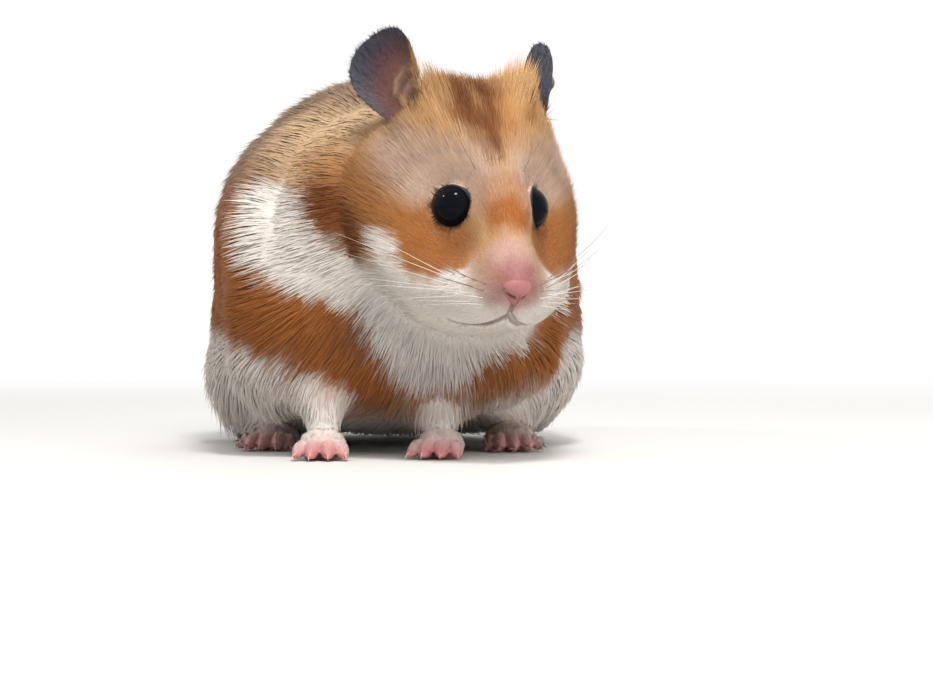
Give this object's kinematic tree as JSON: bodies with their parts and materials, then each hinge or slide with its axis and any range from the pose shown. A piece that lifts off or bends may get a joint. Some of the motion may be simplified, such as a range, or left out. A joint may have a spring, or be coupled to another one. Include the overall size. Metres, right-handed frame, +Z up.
{
  "type": "syrian hamster",
  "caption": "Adult Syrian hamster crouched on all four paws with its head lowered and turned to its left, a still life-size animal with orange, brown and white fur.",
  "frame": {"origin": "on the floor under the middle of the animal's bounding box", "axes": "+Z up; the body lies along Y with the breast and paws towards -Y and the rump at +Y; +X is the animal's own left, towards which the head is turned"},
  "size_m": [0.0694, 0.1148, 0.0676],
  "materials": {
    "coat": "soft orange-brown fur",
    "face_coat": "short rust-orange fur",
    "pale_coat": "cream-white fur",
    "ear_skin": "thin slate-grey skin with fine hairs",
    "eye": "wet, glossy black",
    "nose_skin": "damp pink skin",
    "bare_skin": "pink, thinly haired skin"
  },
  "bodies": {
    "root": {"trunk": "coat", "neck": "coat", "head": "face_coat", "nose": "nose_skin", "tail": "bare_skin", "ear_left": "ear_skin", "eye_left": "eye", "foreleg_left": "pale_coat", "forepaw_left": "bare_skin", "hindleg_left": "coat", "hindpaw_left": "bare_skin", "ear_right": "ear_skin", "eye_right": "eye", "foreleg_right": "pale_coat", "forepaw_right": "bare_skin", "hindleg_right": "coat", "hindpaw_right": "bare_skin"}
  },
  "joints": []
}
